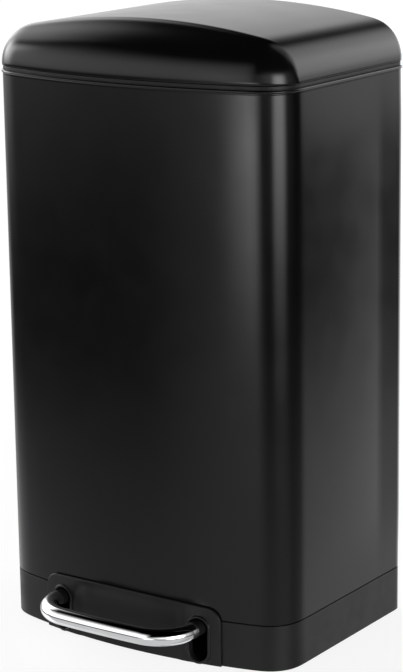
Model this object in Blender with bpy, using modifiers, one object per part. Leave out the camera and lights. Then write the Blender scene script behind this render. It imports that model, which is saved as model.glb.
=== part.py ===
"""Pedal trash can: D-shaped steel body, domed lid, foot bar and lifting-rod mechanism.

Frame: metres, +Z up, front towards -Y, +X to the right seen from the front.
The origin is at the middle of the footprint, on the floor.
"""
import math

import bmesh
import bpy
from mathutils import Matrix, Vector

# Body outline, seen from above: bowed front, flat sides and back.
HALF_WIDTH = 0.169
FRONT_Y = -0.104
BACK_Y = 0.141
BOW_RADIUS = 0.563
CORNER_RADIUS = 0.036
REAR_RADIUS = 0.012

# Heights of the stack, from the floor up.
SKIRT_BOTTOM = 0.001
SKIRT_TOP = 0.0467
SPIGOT_TOP = 0.060
DECK_BOTTOM = 0.050
DECK_TOP = 0.0525
SHELL_BOTTOM = 0.0473
SHELL_TOP = 0.5597
COLLAR_BOTTOM = 0.530
COLLAR_TOP = 0.5636
SHELF_TOP = 0.5505
LID_BOTTOM = 0.5642
LID_TOP = 0.6158

GAP = 0.0003
SHEET = 0.0006
SKIRT_WALL = 0.0031
COLLAR_WALL = 0.005
ROLLED_EDGE = 0.0012

# Lid: an arch in the XZ plane, drawn back from a crease, with a bulged front cap.
LID_PROUD = 0.0005
SHOULDER_RADIUS = 0.040
CREASE_SET_BACK = 0.011
CREASE_ANGLE = math.radians(38)
CAP_RISE = 0.66
CAP_RUN = 0.32
LINER_THICKNESS = 0.0016
LINER_TOP = 0.577
BOSS_TOP = 0.5845
BRACKET_SCREWS = ((-0.016, 0.095), (0.016, 0.095), (-0.016, 0.118), (0.016, 0.118))
BRACKET_HALF = 0.024
CRANK_HALF_WIDTH = 0.0042

# Lifting mechanism.
HINGE_Y = 0.147
HINGE_Z = 0.556
CRANK_RADIUS = 0.0132
CRANK_DROP = math.radians(39)
PEDAL_SWING = math.radians(8.8)
PIVOT_Z = 0.0237
ROD_X = -0.0065
ROD_RADIUS = 0.0022
PIN_RADIUS = 0.002
PLAY = 0.0006
AXLE_RADIUS = 0.004
AXLE_HALF_LENGTH = 0.0875
CLIP_X = 0.0852
POST_X = 0.062
POST_HALF = 0.005
POST_REACH = 0.013
CLAMP_BOTTOM = 0.0150
CLAMP_SCREW_REACH = 0.0095
BUFFER_Y = -0.074

# Screws: radii of head, shank and hole, shared by all but the housing's wider heads.
SCREW_HEAD = 0.003
SCREW_HEAD_HEIGHT = 0.0018
SCREW_SHANK = 0.0015
SCREW_HOLE = 0.0018
HOUSING_SCREWS = (("left", -0.034), ("right", 0.034))
HOUSING_SCREW_HEAD = 0.0035
HOUSING_SCREW_Z = 0.515
SHELL_HOLE = 0.0019

# Feet: a pad under the base with a peg hole for each.
FOOT_PLACES = {"front_left": (-0.152, -0.058), "front_right": (0.152, -0.058),
               "rear_left": (-0.153, 0.125), "rear_right": (0.153, 0.125)}
PAD_RADIUS = 0.0145
PEG_RADIUS = 0.003

# Foot bar and its surround.
LEG_X = 0.0825
BAR_Z = 0.0376
BAR_RADIUS = 0.0087
BAR_WALL = 0.0015
BAR_FRONT_Y = -0.1484
BAR_BEND = 0.036
BAR_SAG = 0.003
BAR_END_Y = -0.1110
SLEEVE_RADIUS = 0.0076
SLEEVE_END_Y = -0.085
PLATE_HALF = 0.1055
PLATE_TOP = 0.0623
PLATE_SHOULDER = 0.0590
PLATE_CORNER = 0.015
PLATE_THICKNESS = 0.003
SLOT_HALF = 0.010
SLOT_LOW = 0.0035
SLOT_HIGH = 0.047
RIM = 0.0028
RIM_PROUD = 0.0015
SIDES = (("left", -LEG_X), ("right", LEG_X))
SURROUND_SCREWS = (-0.050, 0.0, 0.050)
SURROUND_SCREW_Z = 0.030

# Notches and blocks, each as its lowest and its highest corner.
SHELL_NOTCH = ((-0.030, 0.130, 0.527), (0.030, 0.150, 0.570))
BEAD_NOTCH = ((-0.0405, 0.130, 0.553), (0.0405, 0.150, 0.570))
COLLAR_NOTCH = ((-0.030, 0.120, 0.500), (0.030, 0.150, 0.600))
LINER_NOTCH = ((-0.0275, 0.125, 0.550), (0.0275, 0.150, 0.575))
HOUSING = ((-0.040, 0.1413, 0.505), (0.040, 0.1545, 0.560))
HOUSING_CAVITY = ((-0.0268, 0.135, 0.528), (0.0268, 0.1524, 0.570))
LOWER_GUIDE = ((ROD_X - 0.008, 0.127, DECK_TOP + GAP), (ROD_X + 0.008, 0.1375, 0.062))
UPPER_GUIDE = ((ROD_X - 0.009, 0.1285, 0.490), (ROD_X + 0.009, 0.1400, 0.505))

# Bucket: insets of its floor, its walls and its rim from the body's outline, the second one at the back.
BUCKET_BOTTOM = 0.0560
BUCKET_FLOOR = (0.024, 0.026)
BUCKET_FOOT = (0.021, 0.023)
BUCKET_MOUTH = (0.0125, 0.0175)
BUCKET_RIM = (COLLAR_WALL + PLAY, 0.0145)
GRIP = ((0.1585, -0.020, 0.540), (0.170, 0.060, 0.570))

# Steps in the rounded stretches.
BOW_STEPS = 10
CORNER_STEPS = 6
REAR_STEPS = 3
CAP_STEPS = 6
ROUND_SIDES = 16

BLACK_PAINT = ("black_paint", (0.012, 0.012, 0.013), 0.35, 0.0)
BLACK_PLASTIC = ("black_plastic", (0.02, 0.02, 0.021), 0.55, 0.0)
GREY_PLASTIC = ("grey_plastic", (0.08, 0.08, 0.085), 0.5, 0.0)
CHROME = ("chrome", (0.8, 0.8, 0.81), 0.08, 1.0)
STEEL = ("zinc_steel", (0.5, 0.5, 0.5), 0.4, 1.0)
RUBBER = ("rubber", (0.02, 0.02, 0.02), 0.9, 0.0)


# --- scene helpers ---------------------------------------------------------

def clear_scene():
    for item in list(bpy.data.objects):
        bpy.data.objects.remove(item, do_unlink=True)


def collection(name):
    made = bpy.data.collections.new(name)
    bpy.context.scene.collection.children.link(made)
    return made


def material(finish):
    name, colour, roughness, metallic = finish
    made = bpy.data.materials.get(name)
    if made is None:
        made = bpy.data.materials.new(name)
        made.use_nodes = True
        shader = made.node_tree.nodes["Principled BSDF"]
        shader.inputs["Base Color"].default_value = (*colour, 1.0)
        shader.inputs["Roughness"].default_value = roughness
        shader.inputs["Metallic"].default_value = metallic
    return made


def new_object(name, data, finish):
    made = bpy.data.objects.new(name, data)
    data.materials.append(material(finish))
    PARTS.objects.link(made)
    return made


def mesh_object(name, bm, finish):
    data = bpy.data.meshes.new(name)
    bm.to_mesh(data)
    bm.free()
    return new_object(name, data, finish)


def to_cutter(item):
    """Move an object among the cutters, where it isn't part of the model."""
    PARTS.objects.unlink(item)
    CUTTERS.objects.link(item)
    item.hide_render = True
    item.display_type = "WIRE"
    return item


def boolean(target, tool, operation):
    modifier = target.modifiers.new(tool.name, "BOOLEAN")
    modifier.operation = operation
    modifier.object = to_cutter(tool)
    return target


def cut(target, *tools):
    for tool in tools:
        boolean(target, tool, "DIFFERENCE")
    return target


def join(target, *tools):
    for tool in tools:
        boolean(target, tool, "UNION")
    return target


def solidify(item, thickness):
    modifier = item.modifiers.new("thickness", "SOLIDIFY")
    modifier.thickness = thickness
    modifier.offset = -1.0
    modifier.use_even_offset = True
    return item


def smooth(item, angle=30):
    item.data.shade_smooth()
    item.data.set_sharp_from_angle(angle=math.radians(angle))
    return item


def as_mesh(item):
    """Replace a curve object with a welded mesh of the same shape and place."""
    name = item.name
    finish_slots = list(item.data.materials)
    graph = bpy.context.evaluated_depsgraph_get()
    data = bpy.data.meshes.new_from_object(item.evaluated_get(graph))
    bm = bmesh.new()
    bm.from_mesh(data)
    bmesh.ops.remove_doubles(bm, verts=bm.verts, dist=0.00001)
    bmesh.ops.recalc_face_normals(bm, faces=bm.faces)
    bm.to_mesh(data)
    bm.free()
    place = item.matrix_world.copy()
    bpy.data.objects.remove(item, do_unlink=True)
    made = bpy.data.objects.new(name, data)
    data.materials.clear()
    for slot in finish_slots:
        data.materials.append(slot)
    PARTS.objects.link(made)
    made.matrix_world = place
    return made


# --- shape helpers ---------------------------------------------------------

def steps(first, last, count):
    return [first + (last - first) * i / count for i in range(count + 1)]


def box(name, low, high, finish=STEEL):
    bm = bmesh.new()
    bmesh.ops.create_cube(bm, size=1.0)
    size = Vector(high) - Vector(low)
    middle = (Vector(high) + Vector(low)) / 2
    place = Matrix.Translation(middle) @ Matrix.Diagonal((*size, 1.0))
    bmesh.ops.transform(bm, matrix=place, verts=bm.verts)
    return mesh_object(name, bm, finish)


def rod(name, start, end, radius, finish=STEEL, sides=ROUND_SIDES):
    """A round bar from start to end."""
    axis = Vector(end) - Vector(start)
    turn = Vector((0, 0, 1)).rotation_difference(axis).to_matrix().to_4x4()
    bm = bmesh.new()
    bmesh.ops.create_cone(bm, cap_ends=True, segments=sides, radius1=radius, radius2=radius, depth=axis.length)
    middle = (Vector(start) + Vector(end)) / 2
    bmesh.ops.transform(bm, matrix=Matrix.Translation(middle) @ turn, verts=bm.verts)
    return smooth(mesh_object(name, bm, finish))


def turned(name, profile, finish, sides=ROUND_SIDES):
    """A solid of revolution about Z; profile runs from the top to the bottom of its outer side."""
    bm = bmesh.new()
    corners = [bm.verts.new((radius, 0.0, height)) for radius, height in profile]
    for first, second in zip(corners, corners[1:]):
        bm.edges.new((first, second))
    item = mesh_object(name, bm, finish)
    screw = item.modifiers.new("turn", "SCREW")
    screw.steps = sides
    screw.render_steps = sides
    screw.use_merge_vertices = True
    screw.merge_threshold = 0.00001
    return item


def tube_wall(name, outer, inner, length, finish, sides=ROUND_SIDES):
    """A hollow cylinder along Z, its middle at the origin."""
    top, bottom = length / 2, -length / 2
    profile = [(inner, top), (outer, top), (outer, bottom), (inner, bottom), (inner, top)]
    return turned(name, profile, finish, sides)


def flat(name, splines, thickness, finish):
    """A flat outline in XY, its thickness shared above and below; inner splines are holes."""
    data = bpy.data.curves.new(name, "CURVE")
    data.dimensions = "2D"
    data.fill_mode = "BOTH"
    data.extrude = thickness / 2
    for points in splines:
        spline = data.splines.new("POLY")
        spline.points.add(len(points) - 1)
        for point, (x, y) in zip(spline.points, points):
            point.co = (x, y, 0.0, 1.0)
        spline.use_cyclic_u = True
    return as_mesh(new_object(name, data, finish))


def side_plate(name, outline, x_middle, thickness, finish=STEEL):
    """A plate in the YZ plane; outline is a list of (y, z)."""
    item = flat(name, [outline], thickness, finish)
    turn = Matrix(((0, 0, 1), (1, 0, 0), (0, 1, 0))).to_4x4()
    item.data.transform(Matrix.Translation((x_middle, 0, 0)) @ turn)
    return item


def obround(half_width, low, high, x_middle):
    """Points of an upright slot with round ends."""
    top = [(x_middle + half_width * math.cos(a), high - half_width + half_width * math.sin(a))
           for a in steps(0, math.pi, 8)]
    bottom = [(x_middle + half_width * math.cos(a), low + half_width + half_width * math.sin(a))
              for a in steps(math.pi, 2 * math.pi, 8)]
    return top + bottom


def upright_plate(name, outline, y_low, y_high, finish=STEEL):
    """A plate whose outline is a list of (x, z), reaching from y_low to y_high."""
    item = flat(name, [outline], y_high - y_low, finish)
    turn = Matrix(((1, 0, 0), (0, 0, -1), (0, 1, 0))).to_4x4()
    item.data.transform(Matrix.Translation((0, (y_low + y_high) / 2, 0)) @ turn)
    return item


def bow_angle():
    return math.asin((HALF_WIDTH - CORNER_RADIUS) / (BOW_RADIUS - CORNER_RADIUS))


def front_edge(inset):
    """Points of the bowed front from the left side to the right side, moved in by inset."""
    reach = bow_angle()
    centre_x = HALF_WIDTH - CORNER_RADIUS
    bow_y = FRONT_Y + BOW_RADIUS
    centre_y = bow_y - (BOW_RADIUS - CORNER_RADIUS) * math.cos(reach)
    corner = CORNER_RADIUS - inset
    bow = BOW_RADIUS - inset
    left = [(-centre_x - corner * math.cos(a), centre_y - corner * math.sin(a))
            for a in steps(0, math.pi / 2 - reach, CORNER_STEPS)]
    middle = [(bow * math.sin(a), bow_y - bow * math.cos(a)) for a in steps(-reach, reach, BOW_STEPS)]
    right = [(-x, y) for x, y in reversed(left)]
    return left + middle[1:-1] + right


def outline(inset, back_inset=None):
    """The body's outline moved in by inset, counter-clockwise from the front left."""
    back_inset = inset if back_inset is None else back_inset
    radius = max(REAR_RADIUS - inset, 0.003)
    centre_x = HALF_WIDTH - inset - radius
    centre_y = BACK_Y - back_inset - radius
    right = [(centre_x + radius * math.cos(a), centre_y + radius * math.sin(a))
             for a in steps(0, math.pi / 2, REAR_STEPS)]
    left = [(-x, y) for x, y in reversed(right)]
    return front_edge(inset) + right + left


def loft(name, rows, finish, ring=False, floor=False, around=True):
    """Quads between rows of points. A ring closes on itself; a floor closes the first row."""
    bm = bmesh.new()
    grid = [[bm.verts.new(point) for point in row] for row in rows]
    pairs = list(zip(grid, grid[1:]))
    if ring:
        pairs.append((grid[-1], grid[0]))
    columns = len(grid[0])
    for low, high in pairs:
        for i in range(columns if around else columns - 1):
            j = (i + 1) % columns
            bm.faces.new((low[i], low[j], high[j], high[i]))
    if floor:
        bm.faces.new(list(reversed(grid[0])))
    bmesh.ops.remove_doubles(bm, verts=bm.verts, dist=0.00001)
    bmesh.ops.dissolve_degenerate(bm, edges=bm.edges, dist=0.00001)
    return smooth(mesh_object(name, bm, finish))


def level(inset, z, back_inset=None):
    return [(x, y, z) for x, y in outline(inset, back_inset)]


def ring_section(name, section, finish):
    """Sweep a closed section of (inset, z) points, outer side going up, round the outline."""
    return loft(name, [level(inset, z) for inset, z in section], finish, ring=True)


def screw(name, place, axis, head, length):
    """A pan-head screw; place is under the head and axis points along the shank."""
    height, shank = SCREW_HEAD_HEIGHT, SCREW_SHANK
    profile = [(0.0, height), (head * 0.8, height), (head, height * 0.4), (head, 0.0),
               (shank, 0.0), (shank, -length + shank), (0.0, -length)]
    item = smooth(turned(name, profile, STEEL, 12))
    turn = Vector((0, 0, -1)).rotation_difference(Vector(axis))
    item.rotation_mode = "QUATERNION"
    item.rotation_quaternion = turn
    item.location = place
    return item


# --- body ------------------------------------------------------------------

def body_shell():
    bead = SHELL_TOP - 0.0027
    rows = [level(0, SHELL_BOTTOM), level(0, bead - 0.0015), level(-ROLLED_EDGE, bead),
            level(-ROLLED_EDGE, SHELL_TOP)]
    shell = solidify(loft("body_shell", rows, BLACK_PAINT), SHEET)
    notch = box("shell_notch", *SHELL_NOTCH)
    bead_notch = box("bead_notch", *BEAD_NOTCH)
    z = HOUSING_SCREW_Z
    holes = [rod(f"shell_hole_{side}", (x, 0.130, z), (x, 0.150, z), SHELL_HOLE) for side, x in HOUSING_SCREWS]
    return cut(shell, notch, bead_notch, *holes)


def top_collar():
    outer = SHEET + GAP
    shelf = 0.011
    section = [(0.0004, SHELL_TOP + 0.0006), (0.0004, COLLAR_TOP), (COLLAR_WALL, COLLAR_TOP),
               (COLLAR_WALL, SHELF_TOP), (shelf, SHELF_TOP), (shelf, SHELF_TOP - 0.0025),
               (outer + 0.0023, SHELF_TOP - 0.0025), (outer + 0.0023, COLLAR_BOTTOM),
               (outer, COLLAR_BOTTOM), (outer, SHELL_TOP + 0.0006)]
    collar = ring_section("top_collar", section, BLACK_PLASTIC)
    return cut(collar, box("collar_notch", *COLLAR_NOTCH))


def pivot_y():
    """The lever's rear arm turns the pedal's swing into the crank pin's rise."""
    rise = 2 * CRANK_RADIUS * math.sin(CRANK_DROP)
    return rod_y() - rise / (2 * math.sin(PEDAL_SWING / 2))


def rod_y():
    """The rod stands half way between the crank pin's two extreme places."""
    return HINGE_Y - CRANK_RADIUS * (1 + math.cos(CRANK_DROP)) / 2


def pin_place():
    """The crank pin with the lid closed."""
    return HINGE_Y - CRANK_RADIUS * math.cos(CRANK_DROP), HINGE_Z - CRANK_RADIUS * math.sin(CRANK_DROP)


def base():
    spigot = SHEET + GAP
    section = [(0, SKIRT_BOTTOM), (0, SKIRT_TOP), (spigot, SKIRT_TOP), (spigot, SPIGOT_TOP),
               (SKIRT_WALL, SPIGOT_TOP), (SKIRT_WALL, SKIRT_BOTTOM)]
    tray = ring_section("base", section, BLACK_PLASTIC)
    deck = flat("deck", [outline(SKIRT_WALL - 0.0006)], DECK_TOP - DECK_BOTTOM, BLACK_PLASTIC)
    deck.location.z = (DECK_TOP + DECK_BOTTOM) / 2
    join(tray, deck)
    for side in (-1, 1):
        post = box(f"post_{side}", (side * POST_X - POST_HALF, pivot_y() - POST_REACH, PIVOT_Z + GAP),
                   (side * POST_X + POST_HALF, pivot_y() + POST_REACH, DECK_BOTTOM + 0.001))
        join(tray, post)
    for name, (x, y) in FOOT_PLACES.items():
        join(tray, rod(f"pad_{name}", (x, y, 0.004), (x, y, 0.0065), PAD_RADIUS))
        cut(tray, rod(f"pad_hole_{name}", (x, y, 0.002), (x, y, 0.009), PEG_RADIUS + GAP, sides=12))
    cut(tray, axle_groove("post_groove"))
    for side, x in SIDES:
        hole = obround(SLOT_HALF + 0.0005, SLOT_LOW - 0.0005, SLOT_HIGH + 0.0002, x)
        cut(tray, upright_plate(f"base_slot_{side}", hole, -0.130, -0.085))
    for number, x in enumerate(SURROUND_SCREWS):
        start, end = (x, -0.120, SURROUND_SCREW_Z), (x, -0.090, SURROUND_SCREW_Z)
        cut(tray, rod(f"wall_hole_{number}", start, end, SCREW_HOLE, sides=12))
    for x in (-POST_X, POST_X):
        for y in (pivot_y() - CLAMP_SCREW_REACH, pivot_y() + CLAMP_SCREW_REACH):
            cut(tray, rod(f"post_hole_{x}_{y:.3f}", (x, y, 0.020), (x, y, 0.040), SCREW_HOLE, sides=12))
    cut(tray, rod("deck_hole", (ROD_X, rod_y(), 0.045), (ROD_X, rod_y(), 0.055), ROD_RADIUS + 0.0004))
    return tray


def axle_groove(name):
    return rod(name, (-0.075, pivot_y(), PIVOT_Z), (0.075, pivot_y(), PIVOT_Z), AXLE_RADIUS + GAP)


def axle_clamp(side, x):
    clamp = box(f"axle_clamp_{side}", (x - POST_HALF, pivot_y() - POST_REACH, CLAMP_BOTTOM),
                (x + POST_HALF, pivot_y() + POST_REACH, PIVOT_Z - GAP), GREY_PLASTIC)
    cut(clamp, axle_groove(f"clamp_groove_{side}"))
    for end, y in (("front", pivot_y() - CLAMP_SCREW_REACH), ("rear", pivot_y() + CLAMP_SCREW_REACH)):
        cut(clamp, rod(f"clamp_hole_{side}_{end}", (x, y, 0.010), (x, y, 0.030), SCREW_HOLE, sides=12))
        screw(f"clamp_screw_{side}_{end}", (x, y, CLAMP_BOTTOM - GAP), (0, 0, 1), SCREW_HEAD, 0.021)


def axle():
    y, reach = pivot_y(), AXLE_HALF_LENGTH
    rod("pedal_axle", (-reach, y, PIVOT_Z), (reach, y, PIVOT_Z), AXLE_RADIUS)
    for side, x in (("left", -CLIP_X), ("right", CLIP_X)):
        clip = smooth(tube_wall(f"axle_clip_{side}", 0.0065, AXLE_RADIUS + GAP, 0.001, STEEL))
        clip.rotation_euler = (0, math.pi / 2, 0)
        clip.location = (x, y, PIVOT_Z)


def foot(name, x, y):
    """A rubber disc with a peg that holds it in its pad."""
    profile = [(0.0, 0.0095), (PEG_RADIUS, 0.0095), (PEG_RADIUS, 0.0037), (0.0095, 0.0037), (0.0095, 0.0008),
               (0.0087, 0.0), (0.0, 0.0)]
    item = smooth(turned(f"foot_{name}", profile, RUBBER))
    item.location = (x, y, 0)


def rod_guides():
    y = rod_y()
    lower = box("rod_guide_lower", *LOWER_GUIDE, GREY_PLASTIC)
    cut(lower, rod("lower_bore", (ROD_X, y, 0.045), (ROD_X, y, 0.07), ROD_RADIUS + GAP * 0.9))
    upper = box("rod_guide_upper", *UPPER_GUIDE, GREY_PLASTIC)
    cut(upper, rod("upper_bore", (ROD_X, y, 0.480), (ROD_X, y, 0.515), ROD_RADIUS + GAP))


def hinge_housing():
    housing = box("hinge_housing", *HOUSING, BLACK_PLASTIC)
    rounding = housing.modifiers.new("rounding", "BEVEL")
    rounding.width = 0.0025
    rounding.segments = 2
    cut(housing, box("housing_cavity", *HOUSING_CAVITY))
    start, end = (-0.0392, HINGE_Y, HINGE_Z), (0.045, HINGE_Y, HINGE_Z)
    cut(housing, rod("pin_bore", start, end, PIN_RADIUS + GAP, sides=12))
    z = HOUSING_SCREW_Z
    for side, x in HOUSING_SCREWS:
        cut(housing, rod(f"housing_hole_{side}", (x, 0.135, z), (x, 0.1515, z), SCREW_HOLE, sides=12))
        screw(f"housing_screw_{side}", (x, BACK_Y - SHEET - GAP, z), (0, 1, 0), HOUSING_SCREW_HEAD, 0.010)
    rod("hinge_pin", (-0.0388, HINGE_Y, HINGE_Z), (0.0388, HINGE_Y, HINGE_Z), PIN_RADIUS, sides=12)


# --- pedal surround --------------------------------------------------------

def bow_y(x, outset):
    """The front's Y at x, outset from the body."""
    radius = BOW_RADIUS + outset
    return FRONT_Y + BOW_RADIUS - math.sqrt(radius * radius - x * x)


def bowed_slab(name, inner, outer, half_width):
    """An upright slab that follows the bow, between two outsets."""
    xs = steps(-half_width, half_width, 2 * BOW_STEPS)
    front = [(x, bow_y(x, outer)) for x in xs]
    back = [(x, bow_y(x, inner)) for x in reversed(xs)]
    slab = flat(name, [front + back], 0.09, BLACK_PLASTIC)
    slab.location.z = 0.035
    return slab


def plate_outline():
    """The plate's front view: straight foot, round shoulders and a slightly arched top."""
    half, corner, low = PLATE_HALF, PLATE_CORNER, 0.0008
    centre_x = half - corner
    centre_z = PLATE_SHOULDER - corner
    right = [(centre_x + corner * math.cos(a), centre_z + corner * math.sin(a))
             for a in steps(0, math.pi / 2, 6)]
    rise = PLATE_TOP - PLATE_SHOULDER
    top = [(x, PLATE_SHOULDER + rise * (1 - (x / centre_x) ** 2)) for x in steps(centre_x, -centre_x, 10)]
    left = [(-x, z) for x, z in reversed(right)]
    return [(half, low)] + right + top[1:-1] + left + [(-half, low)]


def pedal_surround():
    plate = bowed_slab("pedal_surround", GAP, GAP + PLATE_THICKNESS, 0.12)
    boolean(plate, upright_plate("plate_shape", plate_outline(), -0.14, -0.05), "INTERSECT")
    for side, x in SIDES:
        rim = bowed_slab(f"rim_{side}", GAP, GAP + PLATE_THICKNESS + RIM_PROUD, 0.12)
        shape = obround(SLOT_HALF + RIM, SLOT_LOW - RIM, SLOT_HIGH + RIM, x)
        boolean(rim, upright_plate(f"rim_shape_{side}", shape, -0.14, -0.05), "INTERSECT")
        join(plate, rim)
        hole = obround(SLOT_HALF, SLOT_LOW, SLOT_HIGH, x)
        cut(plate, upright_plate(f"slot_{side}", hole, -0.14, -0.05))
    for number, x in enumerate(SURROUND_SCREWS):
        front = bow_y(x, GAP + 0.0022)
        start, end = (x, front, SURROUND_SCREW_Z), (x, -0.080, SURROUND_SCREW_Z)
        cut(plate, rod(f"plate_hole_{number}", start, end, SCREW_HOLE, sides=12))
        place = (x, bow_y(x, -SKIRT_WALL) + 0.0004, SURROUND_SCREW_Z)
        screw(f"surround_screw_{number + 1}", place, (0, -1, 0), SCREW_HEAD, 0.0050)


# --- foot bar and lever ----------------------------------------------------

def bar_path():
    """Centre line: straight legs, round bends and a slightly bowed front."""
    bow = LEG_X ** 2 / (2 * BAR_SAG)
    centre_x = LEG_X - BAR_BEND
    bow_centre = BAR_FRONT_Y + bow
    centre_y = bow_centre - math.sqrt((bow - BAR_BEND) ** 2 - centre_x ** 2)
    reach = math.asin(centre_x / (bow - BAR_BEND))
    bend = [(-centre_x - BAR_BEND * math.cos(a), centre_y - BAR_BEND * math.sin(a))
            for a in steps(0, math.pi / 2 - reach, 10)]
    front = [(bow * math.sin(a), bow_centre - bow * math.cos(a)) for a in steps(-reach, reach, 6)]
    half = [(-LEG_X, BAR_END_Y)] + bend
    return half + front[1:-1] + [(-x, y) for x, y in reversed(half)]


def pedal_bar(pivot):
    data = bpy.data.curves.new("pedal_bar", "CURVE")
    data.dimensions = "3D"
    data.bevel_depth = BAR_RADIUS
    data.bevel_resolution = 5
    path = bar_path()
    spline = data.splines.new("POLY")
    spline.points.add(len(path) - 1)
    for point, (x, y) in zip(spline.points, path):
        point.co = (x, y - pivot.y, BAR_Z - pivot.z, 1.0)
    spline.use_smooth = True
    item = new_object("pedal_bar", data, CHROME)
    item.location = pivot
    wall = item.modifiers.new("wall", "SOLIDIFY")
    wall.thickness = BAR_WALL
    wall.offset = -1.0
    return item


def sleeve(side, x):
    """A dark end piece: its spigot fills the bar's end and its body runs into the slot."""
    bore = 0.0048
    spigot = BAR_RADIUS - BAR_WALL - GAP
    start = BAR_END_Y + GAP
    spigot_start = BAR_END_Y - 0.0035
    profile = [(bore, spigot_start), (spigot, spigot_start), (spigot, start), (SLEEVE_RADIUS, start),
               (SLEEVE_RADIUS, SLEEVE_END_Y), (bore, SLEEVE_END_Y), (bore, spigot_start)]
    item = turned(f"pedal_sleeve_{side}", [(r, -y) for r, y in profile], BLACK_PLASTIC)
    item.rotation_euler = (math.pi / 2, 0, 0)
    item.location = (x, 0, BAR_Z)
    return smooth(item)


def pedal_lever(pivot):
    """Steel frame: two side plates with round front ends, a tapering web and a rear fork."""
    half_plate = 0.0016
    py, pz = pivot.y, pivot.z
    side_outline = [(-0.084, 0.0432), (-0.060, 0.0430), (py, 0.0325), (0.054, 0.0275), (0.054, 0.0145),
                    (py, 0.0150), (-0.060, 0.0300), (-0.084, 0.0312)]
    half_swing = PEDAL_SWING / 2
    lever = side_plate("pedal_lever", side_outline, -LEG_X, 2 * half_plate)
    join(lever, side_plate("lever_right", side_outline, LEG_X, 2 * half_plate))
    for side, x in SIDES:
        join(lever, rod(f"lever_end_{side}", (x, BAR_END_Y - 0.0025, BAR_Z), (x, -0.078, BAR_Z), 0.0045))
    web_half = LEG_X + half_plate - 0.0001
    web_outline = [(web_half, 0.044), (web_half, 0.053), (0.014, 0.112), (0.014, 0.126),
                   (-0.014, 0.126), (-0.014, 0.112), (-web_half, 0.053), (-web_half, 0.044)]
    web = flat("lever_web", [web_outline], 0.0025, STEEL)
    tilt = Matrix.Translation(pivot) @ Matrix.Rotation(-half_swing, 4, "X") @ Matrix.Translation(-pivot)
    web.data.transform(tilt @ Matrix.Translation((0, 0, pz)))
    join(lever, web)
    fork_start, fork_end, fork_half = 0.118, rod_y() + 0.0013, 0.007
    slot_half = ROD_RADIUS + PLAY
    slot_start = rod_y() - ROD_RADIUS - PLAY - 0.0002
    lower = [(fork_start, pz - fork_half), (fork_end, pz - fork_half), (fork_end, pz - slot_half),
             (slot_start, pz - slot_half)]
    upper = [(y, 2 * pz - z) for y, z in reversed(lower)]
    fork_outline = lower + upper
    fork = side_plate("lever_fork", fork_outline, 0.0, 0.003)
    fork.data.transform(tilt)
    join(lever, fork)
    return cut(lever, rod("lever_bore", (-0.1, py, pz), (0.1, py, pz), AXLE_RADIUS + GAP))


def lever_buffers():
    for side, x in SIDES:
        low, high = (x, BUFFER_Y, 0.0442), (x, BUFFER_Y, DECK_BOTTOM - GAP)
        rod(f"lever_buffer_{side}", low, high, 0.006, RUBBER, sides=12)


# --- push rod --------------------------------------------------------------

def push_rod():
    """A straight wire hooked at its foot."""
    pin_y, pin_z = pin_place()
    foot_z = PIVOT_Z - (rod_y() - pivot_y()) * math.sin(PEDAL_SWING / 2)
    bend = 0.004
    turn = [(ROD_X + bend - bend * math.cos(a), foot_z + bend - bend * math.sin(a))
            for a in steps(0, math.pi / 2, 4)]
    path = [(ROD_X, pin_z - 0.0062)] + turn + [(0.007, foot_z)]
    data = bpy.data.curves.new("push_rod", "CURVE")
    data.dimensions = "3D"
    data.bevel_depth = ROD_RADIUS
    data.bevel_resolution = 3
    data.use_fill_caps = True
    spline = data.splines.new("POLY")
    spline.points.add(len(path) - 1)
    for point, (x, z) in zip(spline.points, path):
        point.co = (x, rod_y(), z, 1.0)
    spline.use_smooth = True
    return new_object("push_rod", data, STEEL)


def rod_eye():
    """Slotted eye on the rod's top: the crank pin slides along its slot."""
    pin_y, pin_z = pin_place()
    middle = rod_y()
    slot_y = (HINGE_Y - CRANK_RADIUS + pin_y) / 2
    travel = pin_y - (HINGE_Y - CRANK_RADIUS)
    slot_reach = PIN_RADIUS + travel / 2 + PLAY
    wall_y, wall_z = 0.0021, 0.0026
    slot_half = PIN_RADIUS + PLAY
    eye = box("rod_eye", (ROD_X - 0.0025, slot_y - slot_reach - wall_y, pin_z - slot_half - wall_z),
              (ROD_X + 0.0025, slot_y + slot_reach + wall_y, pin_z + slot_half + wall_z), GREY_PLASTIC)
    join(eye, rod("eye_socket", (ROD_X, middle, pin_z - 0.020), (ROD_X, middle, pin_z - 0.0045), 0.004))
    cut(eye, rod("eye_bore", (ROD_X, middle, pin_z - 0.022), (ROD_X, middle, pin_z - 0.0058), ROD_RADIUS + GAP))
    straight = slot_reach - slot_half
    rear = [(slot_y + straight + slot_half * math.cos(a), pin_z + slot_half * math.sin(a))
            for a in steps(-math.pi / 2, math.pi / 2, 8)]
    front = [(2 * slot_y - y, z) for y, z in reversed(rear)]
    return cut(eye, side_plate("eye_slot", rear + front, ROD_X, 0.012))


# --- lid -------------------------------------------------------------------

def arch_points():
    """The lid's arch, left to right: (x, z, upward part of its outward normal)."""
    half = HALF_WIDTH + LID_PROUD
    across = half - SHOULDER_RADIUS
    rise = LID_TOP - LID_BOTTOM
    crown = (across ** 2 + rise ** 2 - SHOULDER_RADIUS ** 2) / (2 * (rise - SHOULDER_RADIUS))
    centre_z = LID_TOP - crown
    lean = math.atan2(across, LID_BOTTOM - centre_z)
    left = [(-across - SHOULDER_RADIUS * math.cos(a), LID_BOTTOM + SHOULDER_RADIUS * math.sin(a), math.sin(a))
            for a in steps(0, math.pi / 2 - lean, CORNER_STEPS)]
    middle = [(crown * math.sin(a), centre_z + crown * math.cos(a), math.cos(a))
              for a in steps(-lean, lean, BOW_STEPS)]
    right = [(-x, z, up) for x, z, up in reversed(left)]
    return left + middle[1:-1] + right


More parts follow.
